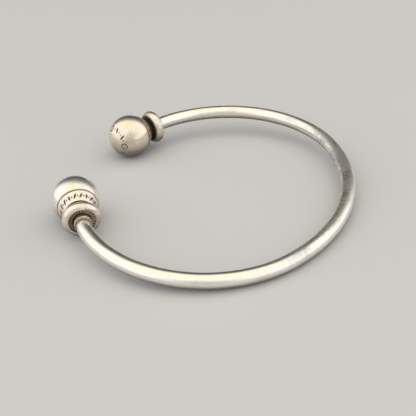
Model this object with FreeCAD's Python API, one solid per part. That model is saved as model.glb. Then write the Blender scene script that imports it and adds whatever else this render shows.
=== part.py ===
import FreeCAD, Part
import math
import os

# A torque bangle: an open oval hoop of round silver bar, with the same turned end on both sides of
# the opening. Millimetres and degrees. +Z is up, the closed back faces +X, the opening faces -X,
# the long way of the oval lies along Y, and the bangle rests on the plane z = 0 as it lies by itself.

# Half of the hoop's centre line, from the middle of the back to the centre of the ball.
BAR_DIAMETER = 2.6
BACK_RADIUS = 32.0
BACK_SWEEP = 34.5
SIDE_RADIUS = 21.3
SIDE_SWEEP = 104.5
LAST_BEND_RADIUS = 12.0
LAST_BEND_SWEEP = 6.7
END_STRAIGHT = 7.8
# Wear has turned the two halves of the hoop against each other about the middle of the back.
HOOP_TWIST = 1.7

# One turned end. A station is a distance from the ball's centre towards the bar.
BALL_DIAMETER = 8.2
SEAM_STATION = 2.3
SEAM_GROOVE = 0.12
BASE_END_DIAMETER = 4.9
BASE_EDGE_ROUND = 0.2
NECK_DIAMETER = 3.6
COLLAR_DIAMETER = 6.4
COLLAR_WIDTH = 2.06
COLLAR_BACK_ROUND = 1.2
COLLAR_FACE_ROUND = 0.8
RECESS_DIAMETER = 4.6
RECESS_DEPTH = 0.18
SOCKET_DEPTH = 0.7
FERRULE_DIAMETER = 2.96
FERRULE_LENGTH = 1.35
FERRULE_EDGE_ROUND = 0.1
POST_DIAMETER = 1.8
POST_TIP_STATION = 0.3

# Room left round a post in its bore, and round the ferrule in the collar's socket.
BORE_CLEARANCE = 0.03
SOCKET_CLEARANCE = 0.08

BALL_RADIUS = BALL_DIAMETER / 2
BAR_RADIUS = BAR_DIAMETER / 2
BORE_RADIUS = POST_DIAMETER / 2 + BORE_CLEARANCE

# The end at -Y is number 1, and the end at +Y is number 2. The second end's base ring is filed a
# little shorter, band and neck, so that its collar sits closer to the ball.
SIDES = {1: -1, 2: 1}
BASE_END_STATIONS = {1: 4.1, 2: 3.6}
COLLAR_STATIONS = {1: 4.72, 2: 4.42}
COLLAR_END_STATIONS = {number: station + COLLAR_WIDTH for number, station in COLLAR_STATIONS.items()}
SOCKET_FLOOR_STATIONS = {number: station - SOCKET_DEPTH for number, station in COLLAR_END_STATIONS.items()}

# How finely the bar is searched for its lowest point, and how often the search is repeated.
STATION_STEP = 0.05
SETTLE_ROUNDS = 20


def half_frame(side):
    """Directions of one half's plane: out of the back, and along the hoop from the middle of the back."""
    lean = math.radians(HOOP_TWIST / 2) * side
    out = FreeCAD.Vector(math.cos(lean), 0, math.sin(lean))
    along = FreeCAD.Vector(0, side, 0)
    return out, along


def half_path(side):
    """Edges of one half's centre line from the middle of the back, its end point and end direction."""
    out, along = half_frame(side)
    place = FreeCAD.Vector(0, 0, 0)
    heading = 0.0
    edges = []
    bends = (
        (BACK_RADIUS, BACK_SWEEP),
        (SIDE_RADIUS, SIDE_SWEEP),
        (LAST_BEND_RADIUS, LAST_BEND_SWEEP),
    )
    for radius, sweep in bends:
        points = [place]
        for part_of_sweep in (sweep / 2, sweep):
            start = math.radians(heading)
            end = math.radians(heading + part_of_sweep)
            step_out = radius * (math.cos(end) - math.cos(start))
            step_along = radius * (math.sin(end) - math.sin(start))
            points.append(place + out * step_out + along * step_along)
        edges.append(Part.Arc(*points).toShape())
        place = points[-1]
        heading += sweep
    turn = math.radians(heading)
    direction = out * -math.sin(turn) + along * math.cos(turn)
    return edges, place, direction


def end_frame(side):
    """Centre of one ball, and the direction from it to the bar."""
    place, direction = half_path(side)[1:]
    return place + direction * END_STRAIGHT, direction * -1


def resting_turn():
    """Rotation that brings the hoop to rest on both balls and on the lowest point of its bar."""
    ball_1 = end_frame(SIDES[1])[0]
    ball_2 = end_frame(SIDES[2])[0]
    stations = []
    for edge in half_path(SIDES[1])[0]:
        stations += edge.discretize(Distance=STATION_STEP)
    across = (ball_2 - ball_1).normalize()
    up = FreeCAD.Vector(0, 0, 1)
    for attempt in range(SETTLE_ROUNDS):
        low = min(stations, key=lambda point: point.dot(up))
        # The plane's normal is square to the line of the balls, and lifts them by the radii's difference.
        arm = (low - ball_1) - across * (low - ball_1).dot(across)
        flat = across.cross(arm).normalize()
        if flat.z < 0:
            flat = flat * -1
        slope = (BALL_RADIUS - BAR_RADIUS) / arm.Length
        up = flat * math.sqrt(1 - slope * slope) - arm.normalize() * slope
    tilt = FreeCAD.Rotation(up, FreeCAD.Vector(0, 0, 1))
    side_way = tilt.multVec(FreeCAD.Vector(0, 1, 0))
    heading = math.degrees(math.atan2(side_way.x, side_way.y))
    return FreeCAD.Rotation(FreeCAD.Vector(0, 0, 1), heading).multiply(tilt)


def turned(outline, side):
    """Solid turned from a closed outline of (radius, station) steps about the axis of one end.

    A step of three values (radius, station, round) has its corner rounded by an arc of that radius.
    """
    corners = [FreeCAD.Vector(step[0], 0, step[1]) for step in outline]
    rounds = [step[2] if len(step) > 2 else 0 for step in outline]
    edges = []
    starts = []
    ends = []
    arcs = []
    for index, corner in enumerate(corners):
        back = (corners[index - 1] - corner).normalize()
        ahead = (corners[(index + 1) % len(corners)] - corner).normalize()
        if rounds[index] == 0:
            starts.append(corner)
            ends.append(corner)
            arcs.append(None)
            continue
        half = back.getAngle(ahead) / 2
        reach = rounds[index] / math.tan(half)
        middle = (back + ahead).normalize() * (rounds[index] / math.sin(half) - rounds[index])
        starts.append(corner + back * reach)
        ends.append(corner + ahead * reach)
        arcs.append(Part.Arc(starts[-1], corner + middle, ends[-1]))
    for index in range(len(corners)):
        if arcs[index]:
            edges.append(arcs[index].toShape())
        following = (index + 1) % len(corners)
        if ends[index].distanceToPoint(starts[following]) > 1e-6:
            edges.append(Part.makeLine(ends[index], starts[following]))
    return revolved(edges, side)


def revolved(edges, side):
    """Solid of revolution of closed outline edges, set on the axis of one end."""
    face = Part.Face(Part.Wire(edges))
    solid = face.revolve(FreeCAD.Vector(0, 0, 0), FreeCAD.Vector(0, 0, 1), 360)
    centre, axis = end_frame(side)
    turn = FreeCAD.Rotation(FreeCAD.Vector(0, 0, 1), axis)
    return solid.transformed(FreeCAD.Placement(centre, turn).toMatrix())


def bar():
    """The hoop of round bar, with a thinner post at each end that carries the turned end pieces."""
    edges_1, place_1, direction_1 = half_path(SIDES[1])
    edges_2, place_2, direction_2 = half_path(SIDES[2])
    start = place_1 + direction_1 * (END_STRAIGHT - SOCKET_FLOOR_STATIONS[1])
    end = place_2 + direction_2 * (END_STRAIGHT - SOCKET_FLOOR_STATIONS[2])
    leads = [Part.makeLine(start, place_1), Part.makeLine(place_2, end)]
    path = Part.Wire(Part.__sortEdges__(leads[:1] + edges_1[::-1] + edges_2 + leads[1:]))
    section = Part.Wire(Part.makeCircle(BAR_RADIUS, start, direction_1))
    hoop = path.makePipeShell([section], True, False)
    for number, side in SIDES.items():
        centre, axis = end_frame(side)
        foot = centre + axis * POST_TIP_STATION
        length = SOCKET_FLOOR_STATIONS[number] - POST_TIP_STATION
        hoop = hoop.fuse(Part.makeCylinder(POST_DIAMETER / 2, length, foot, axis))
    return hoop.removeSplitter()


def ball(side):
    """Ball end: a sphere cut flat at the seam, with a blind bore for the post."""
    groove_station = SEAM_STATION - SEAM_GROOVE
    groove_radius = math.sqrt(BALL_RADIUS ** 2 - groove_station ** 2)
    pole = FreeCAD.Vector(0, 0, -BALL_RADIUS)
    equator = FreeCAD.Vector(BALL_RADIUS, 0, 0)
    rim = FreeCAD.Vector(groove_radius, 0, groove_station)
    seam = FreeCAD.Vector(groove_radius - SEAM_GROOVE, 0, SEAM_STATION)
    mouth = FreeCAD.Vector(BORE_RADIUS, 0, SEAM_STATION)
    floor = FreeCAD.Vector(BORE_RADIUS, 0, POST_TIP_STATION - BORE_CLEARANCE)
    axis_point = FreeCAD.Vector(0, 0, POST_TIP_STATION - BORE_CLEARANCE)
    edges = [Part.Arc(pole, equator, rim).toShape()]
    corners = (rim, seam, mouth, floor, axis_point, pole)
    for start, end in zip(corners, corners[1:]):
        edges.append(Part.makeLine(start, end))
    return revolved(edges, side)


def base_ring(number):
    """Base ring: the tapered band behind the ball's seam, and the neck that stands on the collar."""
    seam_radius = math.sqrt(BALL_RADIUS ** 2 - SEAM_STATION ** 2)
    end_station = BASE_END_STATIONS[number]
    collar_station = COLLAR_STATIONS[number]
    outline = (
        (BORE_RADIUS, SEAM_STATION),
        (seam_radius - SEAM_GROOVE, SEAM_STATION),
        (seam_radius, SEAM_STATION + SEAM_GROOVE),
        (BASE_END_DIAMETER / 2, end_station, BASE_EDGE_ROUND),
        (NECK_DIAMETER / 2, end_station),
        (NECK_DIAMETER / 2, collar_station),
        (BORE_RADIUS, collar_station),
    )
    return turned(outline, SIDES[number])


def collar(number):
    """Collar: a thick disc with a rolled rim, a shallow recessed field towards the bar and a socket."""
    socket_radius = FERRULE_DIAMETER / 2 + SOCKET_CLEARANCE
    back_station = COLLAR_STATIONS[number]
    face_station = COLLAR_END_STATIONS[number]
    floor_station = SOCKET_FLOOR_STATIONS[number]
    outline = (
        (BORE_RADIUS, back_station),
        (COLLAR_DIAMETER / 2, back_station, COLLAR_BACK_ROUND),
        (COLLAR_DIAMETER / 2, face_station, COLLAR_FACE_ROUND),
        (RECESS_DIAMETER / 2, face_station),
        (RECESS_DIAMETER / 2, face_station - RECESS_DEPTH),
        (socket_radius, face_station - RECESS_DEPTH),
        (socket_radius, floor_station),
        (BORE_RADIUS, floor_station),
    )
    return turned(outline, SIDES[number])


def ferrule(number):
    """Ferrule: a short sleeve round the bar's last stretch, seated in the collar's socket."""
    foot_station = SOCKET_FLOOR_STATIONS[number]
    end_station = foot_station + FERRULE_LENGTH
    outline = (
        (BAR_RADIUS + BORE_CLEARANCE, foot_station),
        (FERRULE_DIAMETER / 2, foot_station),
        (FERRULE_DIAMETER / 2, end_station, FERRULE_EDGE_ROUND),
        (BAR_RADIUS + BORE_CLEARANCE, end_station),
    )
    return turned(outline, SIDES[number])


def assembly():
    """Every piece by its name, in the hoop's own frame."""
    pieces = {"bar": bar()}
    for number, side in SIDES.items():
        pieces[f"ferrule_{number}"] = ferrule(number)
        pieces[f"collar_{number}"] = collar(number)
        pieces[f"base_ring_{number}"] = base_ring(number)
        pieces[f"ball_{number}"] = ball(side)
    return pieces


pieces = assembly()
rest = FreeCAD.Placement(FreeCAD.Vector(0, 0, 0), resting_turn())
pieces = {name: shape.transformed(rest.toMatrix()) for name, shape in pieces.items()}
box = Part.makeCompound(list(pieces.values())).optimalBoundingBox(False, False)
origin = FreeCAD.Vector(box.Center.x, box.Center.y, box.ZMin)

os.makedirs("parts", exist_ok=True)
for name, shape in pieces.items():
    shape.translate(origin * -1)
    shape.exportStep(f"parts/{name}.step")
    print(name, "valid", shape.isValid(), "solids", len(shape.Solids), "volume", round(shape.Volume, 2))
print("box", round(box.XLength, 3), round(box.YLength, 3), round(box.ZLength, 3))
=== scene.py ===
import math

import bpy
import numpy as np
from mathutils import Matrix, Vector


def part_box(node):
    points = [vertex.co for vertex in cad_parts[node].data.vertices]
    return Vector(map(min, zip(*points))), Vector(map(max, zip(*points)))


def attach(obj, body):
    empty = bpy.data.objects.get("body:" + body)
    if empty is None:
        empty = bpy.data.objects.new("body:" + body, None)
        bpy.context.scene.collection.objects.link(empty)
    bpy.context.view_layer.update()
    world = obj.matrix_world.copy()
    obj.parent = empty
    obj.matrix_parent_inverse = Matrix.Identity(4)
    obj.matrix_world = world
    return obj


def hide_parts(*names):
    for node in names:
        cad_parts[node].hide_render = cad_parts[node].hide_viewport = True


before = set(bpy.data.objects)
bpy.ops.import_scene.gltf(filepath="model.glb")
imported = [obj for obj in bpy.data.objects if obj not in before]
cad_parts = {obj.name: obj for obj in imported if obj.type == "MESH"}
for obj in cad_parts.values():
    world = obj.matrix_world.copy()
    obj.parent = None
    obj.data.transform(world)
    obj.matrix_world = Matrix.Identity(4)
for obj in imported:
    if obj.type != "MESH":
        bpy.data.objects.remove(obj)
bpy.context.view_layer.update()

# THE BAR
# One length of round sterling silver bar, bent to an open oval and polished by hand. Its ends are
# turned down to posts, which carry the end pieces. It has fine scratches, a film of brown and
# blue-grey tarnish in patches, painted shade underneath in a dull brown-grey, and a slight twist
# between its two halves.
MM = 0.001
BAR_RADIUS = 1.3 * MM
POST_RADIUS = 0.9 * MM
BEND_RADII = np.array([32.0, 21.3, 12.0]) * MM
BEND_SWEEPS = np.radians([34.5, 104.5, 6.7])
END_STRAIGHT = 7.8 * MM
HOOP_TWIST = math.radians(1.7)
BALL_RADIUS = 4.1 * MM
POST_TIP_STATION = 0.3 * MM
SOCKET_FLOOR_STATIONS = {1: 6.08 * MM, 2: 5.78 * MM}
SIDES = {1: -1, 2: 1}
LINE_STEP = 0.02 * MM
SETTLE_ROUNDS = 20


def half_line(side):
    """Places and directions on one half's centre line, from the middle of the back to the ball's centre.

    The heading grows evenly along each bend and stays as it is on the straight. A place is the sum of
    all steps so far along the heading, laid out in the half's own plane, which leans by half the twist.
    """
    lengths = np.append(BEND_RADII * BEND_SWEEPS, END_STRAIGHT)
    knots = np.append(0, np.cumsum(lengths))
    headings = np.append(np.append(0, np.cumsum(BEND_SWEEPS)), BEND_SWEEPS.sum())
    station = np.linspace(0, knots[-1], round(knots[-1] / LINE_STEP) + 1)
    heading = np.interp(station, knots, headings)
    middle = (heading[1:] + heading[:-1]) / 2
    step = station[1]
    lean = HOOP_TWIST / 2 * side
    out = np.array([math.cos(lean), 0, math.sin(lean)])
    along = np.array([0, side, 0])
    steps = -np.sin(middle)[:, None] * out + np.cos(middle)[:, None] * along
    places = np.vstack([np.zeros(3), np.cumsum(steps * step, axis=0)])
    directions = -np.sin(heading)[:, None] * out + np.cos(heading)[:, None] * along
    return station, places, directions


def resting_turn(lines):
    """Rotation that brings the hoop to rest on both balls and on the lowest point of its bar.

    The plane under it is parallel to the line of the two balls, and is tipped about that line until the
    bar's lowest point touches it too. This is repeated, because tipping can make another point the
    lowest. A last turn about the vertical brings the hoop's long way back to Y.
    """
    ball_1 = lines[1][1][-1]
    ball_2 = lines[2][1][-1]
    hoop = lines[1][1][lines[1][0] < lines[1][0][-1] - END_STRAIGHT]
    across = (ball_2 - ball_1) / np.linalg.norm(ball_2 - ball_1)
    up = np.array([0, 0, 1.0])
    for attempt in range(SETTLE_ROUNDS):
        low = hoop[np.argmin(hoop @ up)]
        arm = (low - ball_1) - across * ((low - ball_1) @ across)
        reach = np.linalg.norm(arm)
        flat = np.cross(across, arm / reach)
        flat *= np.sign(flat[2])
        slope = (BALL_RADIUS - BAR_RADIUS) / reach
        up = flat * math.sqrt(1 - slope**2) - arm / reach * slope
    tilt = np.array(Vector(up).rotation_difference(Vector((0, 0, 1))).to_matrix())
    side_way = tilt @ np.array([0, 1, 0])
    heading = math.atan2(side_way[0], side_way[1])
    return np.array(Matrix.Rotation(heading, 3, "Z")) @ tilt


def surface(name, places, attributes=None):
    """Closed mesh from a grid of places, each cell split in two triangles.

    Places that are equal become one vertex, which closes seams and poles. The mesh's volume is the sum
    of the signed volumes under its triangles, and where it is negative all triangles are turned over.
    """
    rows, columns = places.shape[:2]
    flat = places.reshape(-1, 3)
    unique, first, index = np.unique(flat, axis=0, return_index=True, return_inverse=True)
    grid = index.reshape(rows, columns)
    a, b, c, d = grid[:-1, :-1], grid[1:, :-1], grid[1:, 1:], grid[:-1, 1:]
    halves = [np.stack(half, -1).reshape(-1, 3) for half in ((a, b, c), (a, c, d))]
    triangles = np.concatenate(halves)
    same = (triangles == np.roll(triangles, 1, axis=1)).any(axis=1)
    triangles = triangles[~same]
    corners = unique[triangles]
    if np.einsum("ij,ij->", corners[:, 0], np.cross(corners[:, 1], corners[:, 2])) < 0:
        triangles = triangles[:, ::-1]
    mesh = bpy.data.meshes.new(name)
    mesh.vertices.add(len(unique))
    mesh.vertices.foreach_set("co", unique.astype(np.float32).ravel())
    mesh.loops.add(triangles.size)
    mesh.loops.foreach_set("vertex_index", triangles.astype(np.int32).ravel())
    mesh.polygons.add(len(triangles))
    mesh.polygons.foreach_set("loop_start", np.arange(0, triangles.size, 3, dtype=np.int32))
    mesh.update(calc_edges=True)
    mesh.validate()
    mesh.shade_smooth()
    for label, values in (attributes or {}).items():
        values = np.asarray(values, np.float32).reshape(rows * columns, -1)[first]
        kind = "FLOAT_VECTOR" if values.shape[1] == 3 else "FLOAT"
        layer = mesh.attributes.new(label, kind, "POINT")
        layer.data.foreach_set("vector" if values.shape[1] == 3 else "value", values.ravel())
    piece = bpy.data.objects.new(name, mesh)
    bpy.context.scene.collection.objects.link(piece)
    return piece


lines = {number: half_line(side) for number, side in SIDES.items()}
turn = resting_turn(lines)
lines = {number: (line[0], line[1] @ turn.T, line[2] @ turn.T) for number, line in lines.items()}
hoop_up = turn @ np.array([0, 0, 1])

BAR_RINGS = 620
BAR_AROUND = 72
POLISH_WAVE = 0.006 * MM
# Each wave's length along the bar is 2 pi times its value here.
LONG_WAVE = 1.6 * MM
SHORT_WAVE = 0.95 * MM
# Stations of the haze are millimetres along the bar from the middle of its back, and its turn starts
# from the side that looks out of the hoop.
HAZE_STATION = 14
HAZE_REACH = 10
INNER_HAZE_STATION = -4
INNER_HAZE_REACH = 16
INNER_HAZE_TURN = math.radians(150)


def bar_tube(polished_off):
    """The bar: a circle carried along the centre line, its radius a function of the length along it.

    The radius is nothing at a post's tip, then the post's, then the bar's, with a ring at each step of it.
    Hand polishing has taken off up to twice polished_off, in waves that are sines of the place along and
    round the bar and make its reflections waver.
    The straight lay of the bar (length along it, and the circle's two coordinates) is kept in millimetres
    for patterns that follow the metal. The haze is up to 1 where the bar is rubbed least: all round one
    stretch of the back, and beyond it on the side that looks into the hoop.
    """
    (station_1, places_1, directions_1), (station_2, places_2, directions_2) = lines[1], lines[2]
    station = np.concatenate([-station_1[::-1], station_2[1:]])
    places = np.vstack([places_1[::-1], places_2[1:]])
    directions = np.vstack([-directions_1[::-1], directions_2[1:]])
    start = SOCKET_FLOOR_STATIONS[1] - station[-1]
    end = station[-1] - SOCKET_FLOOR_STATIONS[2]
    tip = station[-1] - POST_TIP_STATION
    hoop = np.linspace(start, end, BAR_RINGS)
    rings = np.concatenate([[-tip, -tip, start], hoop, [end, tip, tip]])
    post = [0, POST_RADIUS, POST_RADIUS]
    radius = np.concatenate([post, np.full(len(hoop), BAR_RADIUS), post[::-1]])
    centre = np.stack([np.interp(rings, station, places[:, k]) for k in range(3)], -1)
    ahead = np.stack([np.interp(rings, station, directions[:, k]) for k in range(3)], -1)
    aside = np.cross(ahead, hoop_up)
    aside /= np.linalg.norm(aside, axis=1)[:, None]
    above = np.cross(aside, ahead)
    angle = np.linspace(0, 2 * math.pi, BAR_AROUND + 1)[:, None]
    angle[-1] = 0
    wave = 1 + 0.5 * np.sin(rings / LONG_WAVE + 2 * angle) + 0.5 * np.sin(rings / SHORT_WAVE - 3 * angle)
    radius = radius - wave * np.where(radius == BAR_RADIUS, polished_off, 0)
    across = radius * np.cos(angle)
    upward = radius * np.sin(angle)
    grid = centre + across[..., None] * aside + upward[..., None] * above
    lay = np.stack([np.broadcast_to(rings, across.shape), across, upward], -1) / MM
    haze_round = np.exp(-((lay[..., 0] - HAZE_STATION) / HAZE_REACH) ** 2)
    inner = np.clip(0.5 + 1.5 * np.cos(angle - INNER_HAZE_TURN), 0, 1)
    haze_inside = inner * np.exp(-((lay[..., 0] - INNER_HAZE_STATION) / INNER_HAZE_REACH) ** 2)
    return grid, {"lay": lay, "haze": np.maximum(haze_round, haze_inside)}


plain = bar_tube(0)[0]
bar_low, bar_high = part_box("bar")
shift = np.array([
    bar_high.x - plain[..., 0].max(),
    (bar_low.y + bar_high.y) / 2 - (plain[..., 1].min() + plain[..., 1].max()) / 2,
    bar_low.z - plain[..., 2].min(),
])
lines = {number: (line[0], line[1] + shift, line[2]) for number, line in lines.items()}
grid, wear = bar_tube(POLISH_WAVE)
bar = surface("bar_piece", grid, wear)


def linear(code):
    """A six-digit sRGB hex colour as linear red, green, blue and full alpha."""
    values = np.array([int(code[k:k + 2], 16) for k in (0, 2, 4)]) / 255
    low = values / 12.92
    high = ((values + 0.055) / 1.055) ** 2.4
    return (*np.where(values <= 0.04045, low, high).tolist(), 1.0)


def node(tree, kind, inputs=None, **settings):
    """Adds a node, sets its own settings, and sets or links its inputs by name or number."""
    made = tree.nodes.new(kind)
    for name, value in settings.items():
        setattr(made, name, value)
    for name, value in (inputs or {}).items():
        if isinstance(value, bpy.types.NodeSocket):
            tree.links.new(value, made.inputs[name])
        else:
            made.inputs[name].default_value = value
    return made


# Which draw of the noise sets where the tarnish is brown and where it is blue-grey.
TONE_DRAW = 1.3


def sterling(name, lay=None, film=0.45, worn=0.0, polish=0.16, clean="F8F4EC"):
    """Sterling silver that was polished and then worn for years.

    The metal is near white and slightly warm, and shows its surroundings softly. A film of sulphide lies
    on it in patches some millimetres wide, brown in some places and blue-grey in others. Where the metal
    faces down, painted shade darkens it to a dull brown-grey. Hairline scratches break the polish. Cut
    marks and corners hold nearly black oxide, where the attribute oxide says; on the collars' backs and
    the necks that attribute also carries painted shade. lay is the attribute along which a bar is drawn and
    rubbed, film is how deep the patches are on well rubbed metal, worn makes them more and deeper,
    polish is the lowest roughness of the clean metal, and clean is its colour.
    """
    material = bpy.data.materials.new(name)
    material.use_nodes = True
    tree = material.node_tree
    tree.nodes.clear()
    place = node(tree, "ShaderNodeTexCoord").outputs["Object"]
    patches = node(tree, "ShaderNodeTexNoise", {
        "Vector": place, "Scale": 1 / (6.0 * MM), "Detail": 4.0, "Roughness": 0.6,
    })
    specks = node(tree, "ShaderNodeTexNoise", {
        "Vector": place, "Scale": 1 / (0.7 * MM), "Detail": 3.0, "Roughness": 0.7,
    })
    tones = node(tree, "ShaderNodeTexNoise", {
        "Vector": place, "W": TONE_DRAW, "Scale": 1 / (7.0 * MM), "Detail": 2.0,
    }, noise_dimensions="4D")

    # The film in patches: broken up by specks and deeper where the metal is rubbed least.
    rubbed_least = node(tree, "ShaderNodeAttribute", attribute_name="haze")
    haze = node(tree, "ShaderNodeMath", {0: rubbed_least.outputs["Fac"], 1: worn}, operation="ADD")
    grain = node(tree, "ShaderNodeMath", {0: haze.outputs[0], 1: 0.4, 2: 0.1}, operation="MULTIPLY_ADD")
    broken = node(tree, "ShaderNodeMath", {
        0: specks.outputs["Fac"], 1: grain.outputs[0], 2: patches.outputs["Fac"],
    }, operation="MULTIPLY_ADD")
    deepest = node(tree, "ShaderNodeMath", {0: haze.outputs[0], 1: 0.4, 2: film}, operation="MULTIPLY_ADD")
    patched = node(tree, "ShaderNodeMapRange", {
        "Value": broken.outputs[0], "From Min": 0.55, "From Max": 0.82, "To Max": deepest.outputs[0],
    }, interpolation_type="SMOOTHSTEP")

    # Painted shade underneath: a dull brown-grey, nearly full where the metal faces down.
    normal = node(tree, "ShaderNodeNewGeometry").outputs["Normal"]
    facing = node(tree, "ShaderNodeSeparateXYZ", {"Vector": normal})
    underside_shade = node(tree, "ShaderNodeMapRange", {
        "Value": facing.outputs["Z"], "From Min": 0.25, "From Max": -0.65, "To Max": 0.95,
    }, interpolation_type="SMOOTHSTEP")
    # The tarnish patches together with the painted underside shade.
    tarnish_and_underside_shade = node(tree, "ShaderNodeMath", {
        0: patched.outputs[0], 1: underside_shade.outputs[0],
    }, operation="MAXIMUM")

    # Oxide left in the cuts: golden where it is thin, nearly black where it is thick.
    oxide = node(tree, "ShaderNodeAttribute", attribute_name="oxide")
    ragged = node(tree, "ShaderNodeMapRange", {
        "Value": specks.outputs["Fac"], "From Min": 0.3, "From Max": 0.6, "To Min": 0.8,
    })
    left = node(tree, "ShaderNodeMath", {
        0: oxide.outputs["Fac"], 1: ragged.outputs[0],
    }, operation="MULTIPLY")
    thin = node(tree, "ShaderNodeMapRange", {"Value": left.outputs[0], "From Max": 0.5})
    thick = node(tree, "ShaderNodeMapRange", {"Value": left.outputs[0], "From Min": 0.3, "From Max": 0.8})

    # Colour, layer by layer from the clean metal up.
    tone = node(tree, "ShaderNodeMapRange", {
        "Value": tones.outputs["Fac"], "From Min": 0.42, "From Max": 0.6,
    })
    sulphide = node(tree, "ShaderNodeMix", {
        "Factor": tone.outputs[0], "A": linear("A5977B"), "B": linear("838E94"),
    }, data_type="RGBA")
    filmed = node(tree, "ShaderNodeMix", {
        "Factor": patched.outputs[0], "A": linear(clean), "B": sulphide.outputs[2],
    }, data_type="RGBA")
    # The painted underside shade, in a dull brown-grey over the film.
    shaded = node(tree, "ShaderNodeMix", {
        "Factor": underside_shade.outputs[0], "A": filmed.outputs[2], "B": linear("746A5C"),
    }, data_type="RGBA")
    golden = node(tree, "ShaderNodeMix", {
        "Factor": thin.outputs[0], "A": shaded.outputs[2], "B": linear("AA967C"),
    }, data_type="RGBA")
    colour = node(tree, "ShaderNodeMix", {
        "Factor": thick.outputs[0], "A": golden.outputs[2], "B": linear("2E241C"),
    }, data_type="RGBA")

    # The film scatters some light and thick oxide isn't metal any more. Both dull the polish. The painted
    # underside shade is made less metallic in the same way as the film.
    scatter = node(tree, "ShaderNodeMapRange", {"Value": tarnish_and_underside_shade.outputs[0], "To Min": 1.0, "To Max": 0.55})
    metal = node(tree, "ShaderNodeMath", {
        0: scatter.outputs[0], 1: thick.outputs[0],
    }, operation="SUBTRACT", use_clamp=True)
    rubbed = node(tree, "ShaderNodeMapRange", {
        "Value": specks.outputs["Fac"], "From Min": 0.35, "From Max": 0.7,
        "To Min": polish, "To Max": polish + 0.09,
    })
    dulled = node(tree, "ShaderNodeMath", {
        0: tarnish_and_underside_shade.outputs[0], 1: 0.12, 2: rubbed.outputs[0],
    }, operation="MULTIPLY_ADD")
    rough = node(tree, "ShaderNodeMath", {
        0: left.outputs[0], 1: 0.3, 2: dulled.outputs[0],
    }, operation="MULTIPLY_ADD")

    # Hairline scratches are microns wide, so they are drawn some tenths of a millimetre apart, and along
    # the bar on the bar.
    hairlines = node(tree, "ShaderNodeTexNoise", {"Vector": place, "Scale": 1 / (0.25 * MM), "Detail": 2.0})
    if lay:
        drawn = node(tree, "ShaderNodeAttribute", attribute_name=lay)
        stretched = node(tree, "ShaderNodeMapping", {
            "Vector": drawn.outputs["Vector"], "Scale": (0.25, 4.0, 4.0),
        })
        tree.links.new(stretched.outputs[0], hairlines.inputs["Vector"])
        hairlines.inputs["Scale"].default_value = 1.0
    scratched = node(tree, "ShaderNodeBump", {
        "Height": hairlines.outputs["Fac"], "Strength": 0.5, "Distance": 0.003 * MM,
    })
    shader = node(tree, "ShaderNodeBsdfPrincipled", {
        "Base Color": colour.outputs[2], "Metallic": metal.outputs[0], "Roughness": rough.outputs[0],
        "Normal": scratched.outputs[0],
    })
    node(tree, "ShaderNodeOutputMaterial", {"Surface": shader.outputs[0]})
    return material


bar_silver = sterling("sterling silver, drawn and polished bar", lay="lay", film=0.35, polish=0.17)
bar.data.materials.append(bar_silver)
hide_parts("bar")
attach(bar, "root")

# THE FERRULES
# A short sleeve of silver round each end of the bar, which hides the joint and fills the collar's
# socket. Its colour is a little warmer than the bar's.
BORE_CLEARANCE = 0.03 * MM
FERRULE_RADIUS = 1.48 * MM
FERRULE_LENGTH = 1.35 * MM
FERRULE_ROUND = 0.1 * MM


def outline(corners):
    """Closed outline of (radius, station, round, step) corners in order, with points a step apart.

    An arc of radius r in a corner of half angle h touches both sides at r / tan h from the corner, and its
    centre lies at r / sin h on the corner's middle line. A corner's step holds for its arc and for the
    side that follows it.
    """
    table = np.array(corners, float)
    points, rounds, steps = table[:, :2], table[:, 2], table[:, 3]
    back = np.roll(points, 1, axis=0) - points
    ahead = np.roll(points, -1, axis=0) - points
    back /= np.linalg.norm(back, axis=1)[:, None]
    ahead /= np.linalg.norm(ahead, axis=1)[:, None]
    half = np.arccos(np.clip((back * ahead).sum(1), -1, 1)) / 2
    arcs = []
    for k, point in enumerate(points):
        if rounds[k] == 0:
            arcs.append(point[None])
            continue
        middle = back[k] + ahead[k]
        centre = point + middle / np.linalg.norm(middle) * rounds[k] / math.sin(half[k])
        start = point + back[k] * rounds[k] / math.tan(half[k]) - centre
        end = point + ahead[k] * rounds[k] / math.tan(half[k]) - centre
        sweep = math.pi - 2 * half[k]
        share = np.linspace(0, 1, max(5, round(rounds[k] * sweep / steps[k]) + 1))[:, None]
        arc = start * np.sin((1 - share) * sweep) + end * np.sin(share * sweep)
        arcs.append(centre + arc / math.sin(sweep))
    rows = []
    for k, arc in enumerate(arcs):
        following = arcs[(k + 1) % len(arcs)][0]
        count = max(1, round(np.linalg.norm(following - arc[-1]) / steps[k]))
        share = np.linspace(0, 1, count, endpoint=False)[:, None]
        rows += [arc[:-1], arc[-1] + (following - arc[-1]) * share]
    return np.vstack(rows + [arcs[0][:1]])


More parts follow.
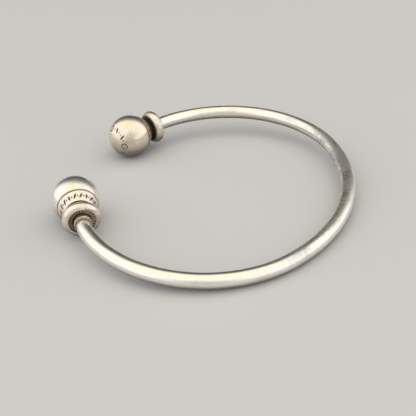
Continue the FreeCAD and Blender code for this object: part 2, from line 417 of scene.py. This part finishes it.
def turned(name, number, profile, around, relief=None):
    """Surface of revolution of a closed profile about one end's axis, with an optional relief.

    A point is the ball's centre, plus its station along the axis towards the bar, plus its radius across
    it. The relief gives a depth and an oxide value for each angle and profile point. The depth is taken
    off along the profile's outward normal.
    """
    line = lines[number]
    centre = line[1][-1]
    axis = -line[2][-1]
    upward = hoop_up - axis * (hoop_up @ axis)
    upward /= np.linalg.norm(upward)
    aside = np.cross(axis, upward)
    angle = np.linspace(0, 2 * math.pi, around + 1)
    radius = np.broadcast_to(profile[:, 0], (around + 1, len(profile)))
    station = np.broadcast_to(profile[:, 1], (around + 1, len(profile)))
    oxide = np.zeros(radius.shape)
    if relief:
        tangent = np.gradient(profile, axis=0)
        rolled = np.roll(profile[:-1], -1, axis=0)
        area = (profile[:-1, 0] * rolled[:, 1] - rolled[:, 0] * profile[:-1, 1]).sum()
        normal = np.stack([tangent[:, 1], -tangent[:, 0]], -1) * np.sign(area)
        normal /= np.maximum(np.linalg.norm(normal, axis=1), 1e-12)[:, None]
        depth, oxide = relief(angle[:, None], radius, station)
        radius = radius - depth * normal[:, 0]
        station = station - depth * normal[:, 1]
    outward = np.cos(angle)[:, None, None] * upward + np.sin(angle)[:, None, None] * aside
    grid = centre + station[..., None] * axis + radius[..., None] * outward
    grid[-1] = grid[0]
    return surface(name, grid, {"oxide": oxide})


FINE = 0.035 * MM
EVEN = 0.1 * MM
COARSE = 0.3 * MM
ferrule_silver = sterling("sterling silver, plain sleeve", clean="F6DFCE")
for number in SIDES:
    foot = SOCKET_FLOOR_STATIONS[number]
    ferrule = turned(f"ferrule_{number}_piece", number, outline((
        (BAR_RADIUS + BORE_CLEARANCE, foot, 0, COARSE),
        (FERRULE_RADIUS, foot, 0, COARSE),
        (FERRULE_RADIUS, foot + FERRULE_LENGTH, FERRULE_ROUND, FINE),
        (BAR_RADIUS + BORE_CLEARANCE, foot + FERRULE_LENGTH, 0, COARSE),
    )), 96)
    ferrule.data.materials.append(ferrule_silver)
    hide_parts(f"ferrule_{number}")
    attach(ferrule, "root")

# THE COLLARS
# A thick turned disc with a rolled rim. Its face towards the bar is a shallow field with a border of
# cut ticks, blackened so that they show, round the socket that takes the ferrule.
COLLAR_STATIONS = {1: 4.72 * MM, 2: 4.42 * MM}
COLLAR_WIDTH = 2.06 * MM
COLLAR_RADIUS = 3.2 * MM
COLLAR_BACK_ROUND = 1.2 * MM
COLLAR_FACE_ROUND = 0.8 * MM
RECESS_RADIUS = 2.3 * MM
RECESS_DEPTH = 0.18 * MM
SOCKET_RADIUS = 1.56 * MM
BORE_RADIUS = POST_RADIUS + BORE_CLEARANCE
TICKS = 26
TICK_LOW = 1.7 * MM
TICK_HIGH = 2.18 * MM
TICK_HALF_WIDTH = 0.13 * MM
DOT_HALF_WIDTH = 0.17 * MM
TICK_DEPTH = 0.08 * MM
# Within this radius the collar's back round the neck is darkened with painted shade.
NECK_SHADE_RADIUS = 2.95 * MM
# Turns about an end's axis start from the side that faces up. The turn below is where the field's painted
# shade is darkest.
FIELD_SHADE_TURN = math.radians(70)


def stroke(u, v, start, end):
    """Distance from the points (u, v) to a straight stroke between two points."""
    along = np.array(end) - np.array(start)
    share = np.clip(((u - start[0]) * along[0] + (v - start[1]) * along[1]) / (along @ along), 0, 1)
    return np.hypot(u - start[0] - share * along[0], v - start[1] - share * along[1])


def cut(distance, half_width):
    """Section of a graver's cut: deepest on its line, rising in a smooth V to nothing at its half width."""
    share = np.clip(1 - distance / half_width, 0, 1)
    return share * share * (3 - 2 * share)


def stain(mark):
    """Oxide left in a cut after polishing: full in its deeper part and thinner towards its edge."""
    return np.clip(2.5 * mark, 0, 1)


def collar_relief(back_station, floor_station):
    """Relief of one collar: a border of cut ticks on its field, every fourth one a punched dot instead.

    The oxide is full in the cuts, and thick in the field's corners and in the socket. On the back round
    the neck the oxide value is painted shade, with some real oxide in the crevice at the neck. The rest of
    the field has a thinner coat of oxide, and painted shade on one side darkens it more.
    """
    field_station = back_station + COLLAR_WIDTH - RECESS_DEPTH

    def relief(angle, radius, station):
        turn_share = angle * TICKS / (2 * math.pi)
        cell = np.floor(turn_share)
        u = (turn_share - cell - 0.5) * 2 * math.pi / TICKS * radius
        tick = cut(stroke(u, radius, (0, TICK_LOW), (0, TICK_HIGH)), TICK_HALF_WIDTH)
        dot = cut(np.hypot(u, radius - (TICK_LOW + TICK_HIGH) / 2), DOT_HALF_WIDTH)
        mark = np.where(np.mod(cell, 4) == 3, dot, tick)
        on_field = np.abs(station - field_station) < 0.01 * MM
        inside = (radius < RECESS_RADIUS) & (station > floor_station + 0.1 * MM)
        edge = np.minimum(np.abs(radius - RECESS_RADIUS), np.abs(radius - SOCKET_RADIUS))
        grime = np.clip(1 - edge / (0.2 * MM), 0, 1)
        # Painted shade on the collar's back round the neck, given as oxide.
        shaded_behind = station < back_station + 0.6 * MM
        back = np.clip((NECK_SHADE_RADIUS - radius) / (0.5 * MM), 0, 1) * shaded_behind
        # Painted shade, darkest on one side of the field, added to its thin oxide coat.
        shaded_side = 0.5 + 0.5 * np.cos(angle - FIELD_SHADE_TURN)
        on_face = np.maximum(0.3 + 0.3 * shaded_side + 0.4 * grime, stain(mark))
        oxide = np.where(on_field, on_face, np.where(inside, 0.95, back))
        return np.where(on_field, mark * TICK_DEPTH, 0), oxide

    return relief


collar_silver = sterling("sterling silver, turned collar", worn=0.25, clean="F8EDE2")
for number in SIDES:
    back_station = COLLAR_STATIONS[number]
    face_station = back_station + COLLAR_WIDTH
    floor_station = SOCKET_FLOOR_STATIONS[number]
    collar = turned(f"collar_{number}_piece", number, outline((
        (BORE_RADIUS, back_station, 0, COARSE),
        (COLLAR_RADIUS, back_station, COLLAR_BACK_ROUND, EVEN),
        (COLLAR_RADIUS, face_station, COLLAR_FACE_ROUND, EVEN),
        (RECESS_RADIUS, face_station, 0.04 * MM, FINE),
        (RECESS_RADIUS, face_station - RECESS_DEPTH, 0, FINE),
        (SOCKET_RADIUS, face_station - RECESS_DEPTH, 0.04 * MM, FINE),
        (SOCKET_RADIUS, floor_station, 0, COARSE),
        (BORE_RADIUS, floor_station, 0, COARSE),
    )), 512, collar_relief(back_station, floor_station))
    collar.data.materials.append(collar_silver)
    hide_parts(f"collar_{number}")
    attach(collar, "root")

# THE BASE RINGS
# The tapered band that the ball sits on, cut with a running border of lozenges, leaves and dots, and
# the neck below it that stands on the collar. The ball sits tight against it, with a fine seam.
SEAM_STATION = 2.3 * MM
SEAM_GROOVE = 0.12 * MM
BASE_END_STATIONS = {1: 4.1 * MM, 2: 3.6 * MM}
BASE_END_RADIUS = 2.45 * MM
BASE_EDGE_ROUND = 0.2 * MM
NECK_RADIUS = 1.8 * MM
SEAM_RADIUS = math.sqrt(BALL_RADIUS**2 - SEAM_STATION**2)
BAND_MARKS = 18
BAND_LEAF_HALF_WIDTH = 0.25 * MM
BAND_DOT_HALF_WIDTH = 0.18 * MM
BAND_DEPTH = 0.09 * MM


def leaf(u, v, lean, tall, wide):
    """Pointed leaf about the origin: below 1 inside it, with its two sides drawn as parabolas."""
    across = u * math.cos(lean) - v * math.sin(lean)
    along = u * math.sin(lean) + v * math.cos(lean)
    return np.abs(across) / wide + (along / tall) ** 2


def band_relief(end_station):
    """Relief of one base ring's band, which tapers from the seam to its end.

    A running border of slanted leaves with a punched dot after each, every third leaf being a lozenge.
    """
    low = np.array([SEAM_RADIUS, SEAM_STATION + SEAM_GROOVE])
    high = np.array([BASE_END_RADIUS, end_station])
    slope = high - low
    length = np.linalg.norm(slope)
    pitch = math.pi * (low[0] + high[0]) / BAND_MARKS
    tall = 0.35 * length

    def relief(angle, radius, station):
        share = ((radius - low[0]) * slope[0] + (station - low[1]) * slope[1]) / length
        off = np.abs((radius - low[0]) * slope[1] - (station - low[1]) * slope[0]) / length
        on_band = (off < 0.01 * MM) & (share > 0.02 * MM) & (share < length - BASE_EDGE_ROUND)
        turn_share = angle * BAND_MARKS / (2 * math.pi)
        cell = np.floor(turn_share)
        u = (turn_share - cell - 0.5) * pitch
        v = share - 0.5 * length
        slanted = cut(leaf(u + 0.18 * pitch, v, 0.5, tall, BAND_LEAF_HALF_WIDTH), 1)
        lozenge = cut(np.abs(u + 0.18 * pitch) / (0.5 * tall) + np.abs(v) / tall, 1)
        dot = cut(np.hypot(u - 0.34 * pitch, v), BAND_DOT_HALF_WIDTH)
        mark = np.maximum(np.where(np.mod(cell, 3) == 1, lozenge, slanted), dot)
        seam = np.clip(1 - share / (0.1 * MM), 0, 1)
        # Painted shade on the band's end face and on the neck between band and collar, given as full oxide.
        shaded_behind = station > end_station - 0.05 * MM
        oxide = np.where(on_band, np.maximum(0.75 * stain(mark), 0.4 * seam),
                         np.where(shaded_behind, 1, np.where(station < low[1], 0.6, 0)))
        return np.where(on_band, mark * BAND_DEPTH, 0), oxide

    return relief


base_silver = {
    1: sterling("sterling silver, engraved band", polish=0.3, clean="F8ECE2"),
    2: sterling("sterling silver, engraved band with brown tarnish", film=0.8, polish=0.3, clean="E0D0BC"),
}
for number in SIDES:
    end_station = BASE_END_STATIONS[number]
    base = turned(f"base_ring_{number}_piece", number, outline((
        (BORE_RADIUS, SEAM_STATION, 0, COARSE),
        (SEAM_RADIUS - SEAM_GROOVE, SEAM_STATION, 0, FINE),
        (SEAM_RADIUS, SEAM_STATION + SEAM_GROOVE, 0.03 * MM, FINE),
        (BASE_END_RADIUS, end_station, BASE_EDGE_ROUND, EVEN),
        (NECK_RADIUS, end_station, 0, EVEN),
        (NECK_RADIUS, COLLAR_STATIONS[number], 0, COARSE),
        (BORE_RADIUS, COLLAR_STATIONS[number], 0, COARSE),
    )), 640, band_relief(end_station))
    base.data.materials.append(base_silver[number])
    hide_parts(f"base_ring_{number}")
    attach(base, "root")

# THE BALLS
# A solid turned ball of sterling silver, cut flat at the seam and bored for the post. A ring of larger
# cut ornaments runs round its free pole. It is polished all over, and the second one has browned more.
POLE_MARKS = 9
POLE_TURN = math.radians(-8)
POLE_RING = 2.95 * MM
POLE_DOT_PLACE = 0.62 * MM
POLE_LEAF_TALL = 0.72 * MM
POLE_LEAF_HALF_WIDTH = 0.26 * MM
RING_RADIUS = 0.58 * MM
RING_HALF_WIDTH = 0.15 * MM
RING_DOT_HALF_WIDTH = 0.22 * MM
POLE_DEPTH = 0.08 * MM


def ball_relief(angle, radius, station):
    """Ornaments on a circle round the ball's pole, and a faintly darkened seam.

    Two slanted leaves between dots, then a ring with a dot in it, and so on round the circle. Lengths are
    arcs on the ball, measured from the pole and along the circle.
    """
    arc = BALL_RADIUS * np.arctan2(radius, -station)
    turn_share = np.mod(angle - POLE_TURN, 2 * math.pi) * POLE_MARKS / (2 * math.pi)
    cell = np.floor(turn_share)
    u = (turn_share - cell - 0.5) * 2 * math.pi / POLE_MARKS * radius
    v = POLE_RING - arc
    distance = np.hypot(u, v)
    dots = cut(np.hypot(np.abs(u) - POLE_DOT_PLACE, v), DOT_HALF_WIDTH)
    sprig = np.maximum(cut(leaf(u, v, 0.45, POLE_LEAF_TALL, POLE_LEAF_HALF_WIDTH), 1), dots)
    circle = cut(np.abs(distance - RING_RADIUS), RING_HALF_WIDTH)
    ring = np.maximum(circle, cut(distance, RING_DOT_HALF_WIDTH))
    mark = np.where(np.mod(cell, 3) == 2, ring, sprig)
    on_ball = np.abs(np.hypot(radius, station) - BALL_RADIUS) < 0.01 * MM
    seam = np.clip(1 - (SEAM_STATION - SEAM_GROOVE - station) / (0.1 * MM), 0, 1)
    oxide = np.where(on_ball, np.maximum(0.8 * stain(mark), 0.4 * seam), 0.6)
    return np.where(on_ball, mark * POLE_DEPTH, 0), oxide


ball_silver = {
    1: sterling("sterling silver, polished ball", polish=0.2),
    2: sterling("sterling silver, polished ball with brown tarnish", worn=0.12, polish=0.2, clean="F6ECDA"),
}
groove_station = SEAM_STATION - SEAM_GROOVE
seam_angle = math.acos(-groove_station / BALL_RADIUS)
fine_end = (POLE_RING + 0.75 * MM) / BALL_RADIUS
polar = np.concatenate([
    np.linspace(0, fine_end, round(fine_end * BALL_RADIUS / (1.2 * FINE)), endpoint=False),
    np.linspace(fine_end, seam_angle, round((seam_angle - fine_end) * BALL_RADIUS / EVEN)),
])
sphere = np.stack([BALL_RADIUS * np.sin(polar), -BALL_RADIUS * np.cos(polar)], -1)
bore_floor = POST_TIP_STATION - BORE_CLEARANCE
cut_face = np.array([
    (sphere[-1, 0] - SEAM_GROOVE, SEAM_STATION),
    (BORE_RADIUS, SEAM_STATION),
    (BORE_RADIUS, bore_floor),
    (0, bore_floor),
])
ball_profile = np.vstack([sphere, cut_face])
for number in SIDES:
    ball = turned(f"ball_{number}_piece", number, ball_profile, 512, ball_relief)
    ball.data.materials.append(ball_silver[number])
    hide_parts(f"ball_{number}")
    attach(ball, "root")

# THE RESTING SURFACE
# A plain pale board, two metres wide.
bpy.ops.mesh.primitive_plane_add(size=2)
floor = bpy.context.object
floor.name = "floor"
floor_material = bpy.data.materials.new("pale matt board")
floor_material.use_nodes = True
floor_material.node_tree.nodes["Principled BSDF"].inputs["Base Color"].default_value = linear("D4D4D7")
floor_material.node_tree.nodes["Principled BSDF"].inputs["Roughness"].default_value = 0.6
floor.data.materials.append(floor_material)

# THE CAMERA
# It looks down into the hoop from the side of its first end.
CAMERA_PLACE = Vector((35.818, -109.849, 68.377)) * MM
CAMERA_AZIMUTH = math.radians(18.621)
CAMERA_DOWN = math.radians(31.495)
CAMERA_ROLL = math.radians(-3.367)
camera = bpy.data.objects.new("camera", bpy.data.cameras.new("camera"))
bpy.context.scene.collection.objects.link(camera)
camera.data.sensor_width = 36
camera.data.lens = 64.47
camera.data.clip_start = 0.005
camera.location = CAMERA_PLACE
camera.rotation_euler = (
    Matrix.Rotation(CAMERA_AZIMUTH, 3, "Z")
    @ Matrix.Rotation(math.pi / 2 - CAMERA_DOWN, 3, "X")
    @ Matrix.Rotation(CAMERA_ROLL, 3, "Z")
).to_euler()
bpy.context.scene.camera = camera

# THE STUDIO LIGHT
# A room of soft white light, warmer overhead and dimmer right behind the camera, with a dark backdrop
# behind the bangle: polished metal shows what is round it, and the backdrop gives the bar its dark upper
# edge and the dark stretch of its back. Its sides are drawn in, and its height stays.
BACKDROP_TURN = CAMERA_AZIMUTH - math.radians(1)
BACKDROP_NARROWING = 1.37
bpy.context.scene.view_settings.view_transform = "Standard"
world = bpy.data.worlds.new("studio")
bpy.context.scene.world = world
world.use_nodes = True
sky = world.node_tree
sky.nodes.clear()
direction = node(sky, "ShaderNodeTexCoord")
turned_sky = node(sky, "ShaderNodeMapping", {
    "Vector": direction.outputs["Generated"],
    "Rotation": (0, 0, -BACKDROP_TURN),
})
narrowed = node(sky, "ShaderNodeVectorMath", {
    0: turned_sky.outputs[0], 1: (BACKDROP_NARROWING, 1, 1),
}, operation="MULTIPLY")
evened = node(sky, "ShaderNodeVectorMath", {0: narrowed.outputs[0]}, operation="NORMALIZE")
parts = node(sky, "ShaderNodeSeparateXYZ", {"Vector": evened.outputs[0]})
height = node(sky, "ShaderNodeSeparateXYZ", {"Vector": direction.outputs["Generated"]})
depth = node(sky, "ShaderNodeMapRange", {"Value": parts.outputs["Y"], "From Min": -1.0, "From Max": 1.0})
room = node(sky, "ShaderNodeValToRGB", {"Fac": depth.outputs[0]})
ROOM_LEVELS = (
    (0.0, 0.5), (0.1, 0.8), (0.17, 1.0), (0.7, 1.0),
    (0.76, 0.65), (0.8, 0.3), (0.87, 0.14), (1.0, 0.06),
)
steps = room.color_ramp.elements
while len(steps) < len(ROOM_LEVELS):
    steps.new(0.5)
for step, (place, level) in zip(steps, ROOM_LEVELS):
    step.position = place
    step.color = (level, level, level, 1)
warmth = node(sky, "ShaderNodeMapRange", {"Value": height.outputs["Z"], "From Min": 0.78, "From Max": 0.98})
tone = node(sky, "ShaderNodeMix", {
    "Factor": warmth.outputs[0], "A": linear("FBF9F6"), "B": linear("FFFAD9"),
}, data_type="RGBA")
light = node(sky, "ShaderNodeMix", {"Factor": 1.0, "A": room.outputs[0], "B": tone.outputs[2]},
             data_type="RGBA", blend_type="MULTIPLY")
background = node(sky, "ShaderNodeBackground", {"Color": light.outputs[2], "Strength": 1.15})
node(sky, "ShaderNodeOutputWorld", {"Surface": background.outputs[0]})
